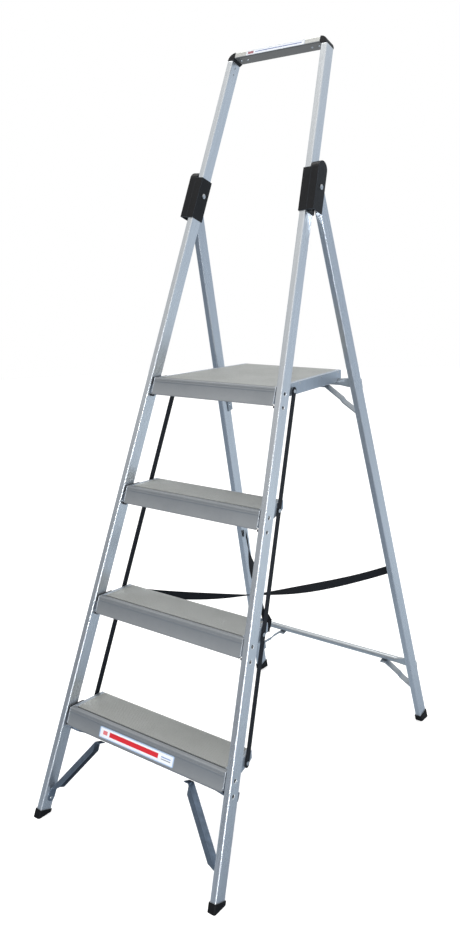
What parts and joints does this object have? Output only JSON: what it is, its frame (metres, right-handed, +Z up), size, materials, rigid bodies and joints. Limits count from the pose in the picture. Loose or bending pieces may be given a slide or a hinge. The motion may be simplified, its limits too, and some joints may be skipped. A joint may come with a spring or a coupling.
{
  "type": "platform step ladder",
  "caption": "Free-standing folding step ladder with a deep standing platform, ribbed treads below it and a waist-high guard rail above.",
  "frame": {"origin": "on the floor, at the middle of the ladder's footprint", "axes": "+Z up, X along the treads, -Y towards a person about to climb"},
  "size_m": [0.6384, 1.0644, 1.9819],
  "materials": {
    "aluminium_tube": "satin anodised box tube",
    "aluminium_crossbar": "drawn round tube",
    "deck": "ribbed extrusion",
    "end_plate": "pressed plate",
    "zinc_steel": "zinc plated",
    "dark_steel": "weathered galvanised",
    "black_plastic": "moulded",
    "black_rubber": "moulded, matt",
    "black_bar": "black coated",
    "webbing": "woven polyester"
  },
  "bodies": {
    "front_frame": {"top_rail": "aluminium_tube", "front_crossbar": "aluminium_crossbar", "front_stile_left": "aluminium_tube", "front_stile_right": "aluminium_tube", "elbow_left": "black_plastic", "elbow_right": "black_plastic", "hinge_bracket_left": "black_plastic", "hinge_bracket_right": "black_plastic", "hinge_bolt_left": "zinc_steel", "hinge_bolt_right": "zinc_steel", "front_foot_left": "black_rubber", "front_foot_right": "black_rubber", "front_brace_left": "dark_steel", "front_brace_right": "dark_steel", "platform_pivot_pin_left": "zinc_steel", "platform_pivot_pin_right": "zinc_steel", "tread_1_pivot_pin_left": "zinc_steel", "tread_1_pivot_pin_right": "zinc_steel", "tread_2_pivot_pin_left": "zinc_steel", "tread_2_pivot_pin_right": "zinc_steel", "tread_3_pivot_pin_left": "zinc_steel", "tread_3_pivot_pin_right": "zinc_steel", "strap_left": "webbing", "strap_right": "webbing"},
    "rear_frame": {"upper_crossbar": "aluminium_crossbar", "lower_crossbar": "aluminium_crossbar", "rear_leg_left": "aluminium_tube", "rear_leg_right": "aluminium_tube", "rear_foot_left": "black_rubber", "rear_foot_right": "black_rubber", "upper_brace_left": "zinc_steel", "upper_brace_right": "zinc_steel", "lower_brace_left": "zinc_steel", "lower_brace_right": "zinc_steel"},
    "platform": {"platform_deck": "deck", "platform_end_plate_left": "end_plate", "platform_end_plate_right": "end_plate", "platform_link_rivet_left": "zinc_steel", "platform_link_rivet_right": "zinc_steel"},
    "tread_1": {"tread_1_board": "deck", "tread_1_end_plate_left": "end_plate", "tread_1_end_plate_right": "end_plate", "tread_1_link_rivet_left": "zinc_steel", "tread_1_link_rivet_right": "zinc_steel"},
    "tread_2": {"tread_2_board": "deck", "tread_2_end_plate_left": "end_plate", "tread_2_end_plate_right": "end_plate", "tread_2_link_rivet_left": "zinc_steel", "tread_2_link_rivet_right": "zinc_steel"},
    "tread_3": {"tread_3_board": "deck", "tread_3_end_plate_left": "end_plate", "tread_3_end_plate_right": "end_plate", "tread_3_link_rivet_left": "zinc_steel", "tread_3_link_rivet_right": "zinc_steel"},
    "link_bar_left": {"link_bar_left": "black_bar"},
    "link_bar_right": {"link_bar_right": "black_bar"}
  },
  "joints": [
    {"name": "rear_frame_fold", "type": "hinge", "parent": "front_frame", "child": "rear_frame", "pos_m": [0, 0.08565, 1.59736], "axis": [-1, 0, 0], "range_deg": [0, 32], "deforming": ["strap_left", "strap_right"]},
    {"name": "platform_swing", "type": "hinge", "parent": "front_frame", "child": "platform", "pos_m": [0, -0.10254, 1.1054], "axis": [1, 0, 0], "range_deg": [0, 62]},
    {"name": "tread_1_swing", "type": "hinge", "parent": "front_frame", "child": "tread_1", "pos_m": [0, -0.41605, 0.2624], "axis": [1, 0, 0], "range_deg": [0, 62]},
    {"name": "tread_2_swing", "type": "hinge", "parent": "front_frame", "child": "tread_2", "pos_m": [0, -0.31154, 0.5434], "axis": [1, 0, 0], "range_deg": [0, 62]},
    {"name": "tread_3_swing", "type": "hinge", "parent": "front_frame", "child": "tread_3", "pos_m": [0, -0.20704, 0.8244], "axis": [1, 0, 0], "range_deg": [0, 62]},
    {"name": "link_bar_left_turn", "type": "hinge", "parent": "platform", "child": "link_bar_left", "pos_m": [0, -0.02214, 1.0994], "axis": [1, 0, 0], "range_deg": [-62, 0]},
    {"name": "link_bar_right_turn", "type": "hinge", "parent": "platform", "child": "link_bar_right", "pos_m": [0, -0.02214, 1.0994], "axis": [1, 0, 0], "range_deg": [-62, 0]}
  ],
  "couplings": [
    {"joint": "platform_swing", "follows": "rear_frame_fold", "ratio": 1.9375},
    {"joint": "tread_1_swing", "follows": "rear_frame_fold", "ratio": 1.9375},
    {"joint": "tread_2_swing", "follows": "rear_frame_fold", "ratio": 1.9375},
    {"joint": "tread_3_swing", "follows": "rear_frame_fold", "ratio": 1.9375},
    {"joint": "link_bar_left_turn", "follows": "rear_frame_fold", "ratio": -1.9375},
    {"joint": "link_bar_right_turn", "follows": "rear_frame_fold", "ratio": -1.9375}
  ]
}
